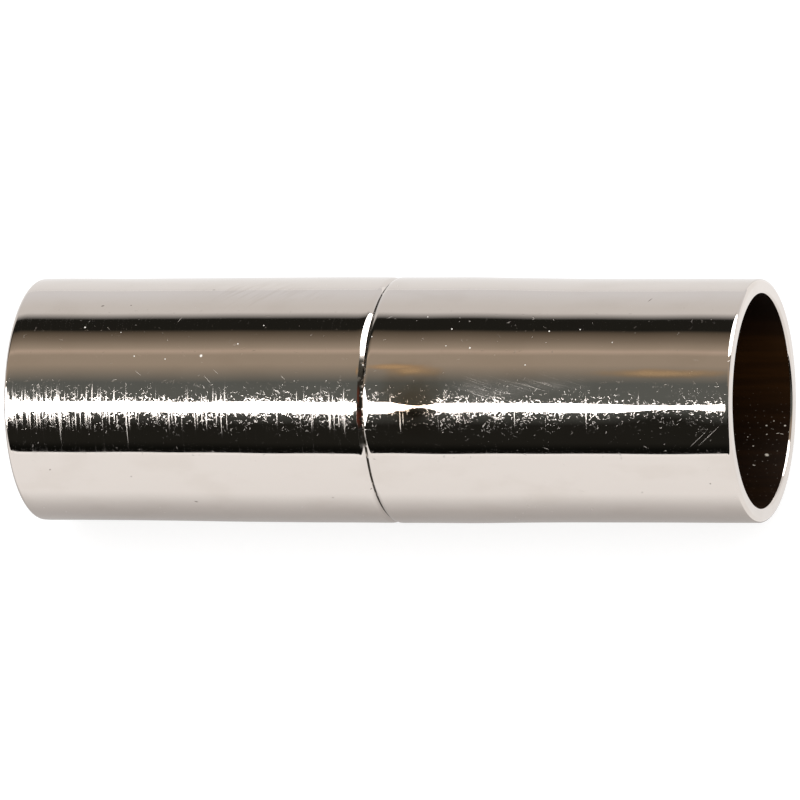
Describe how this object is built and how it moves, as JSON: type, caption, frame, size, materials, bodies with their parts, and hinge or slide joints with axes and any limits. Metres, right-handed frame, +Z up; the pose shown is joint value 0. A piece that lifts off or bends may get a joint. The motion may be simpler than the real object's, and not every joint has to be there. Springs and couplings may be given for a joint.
{
  "type": "magnetic tube clasp",
  "caption": "Round metal tube clasp that closes with a magnet in each half, with a blind hole in each outer end for gluing in a cord.",
  "frame": {"origin": "on the clasp's axis, in the middle of the seam between its two halves", "axes": "+X along the clasp's axis, from the socket half to the plug half, +Z up as it lies on its side"},
  "size_m": [0.022, 0.0072, 0.0072],
  "materials": {
    "plated_shell": "bright nickel plating over brass, worn and finely scratched",
    "plated_magnet": "bright nickel plating over a sintered magnet"
  },
  "bodies": {
    "socket_half": {"socket_shell": "plated_shell", "socket_magnet": "plated_magnet"},
    "plug_half": {"plug_shell": "plated_shell", "plug_magnet": "plated_magnet"}
  },
  "joints": [
    {"name": "pull_apart", "type": "slide", "parent": "socket_half", "child": "plug_half", "axis": [1, 0, 0], "range_m": [0, 0.01], "stiffness_N_per_m": 4, "springref_m": -0.02}
  ]
}
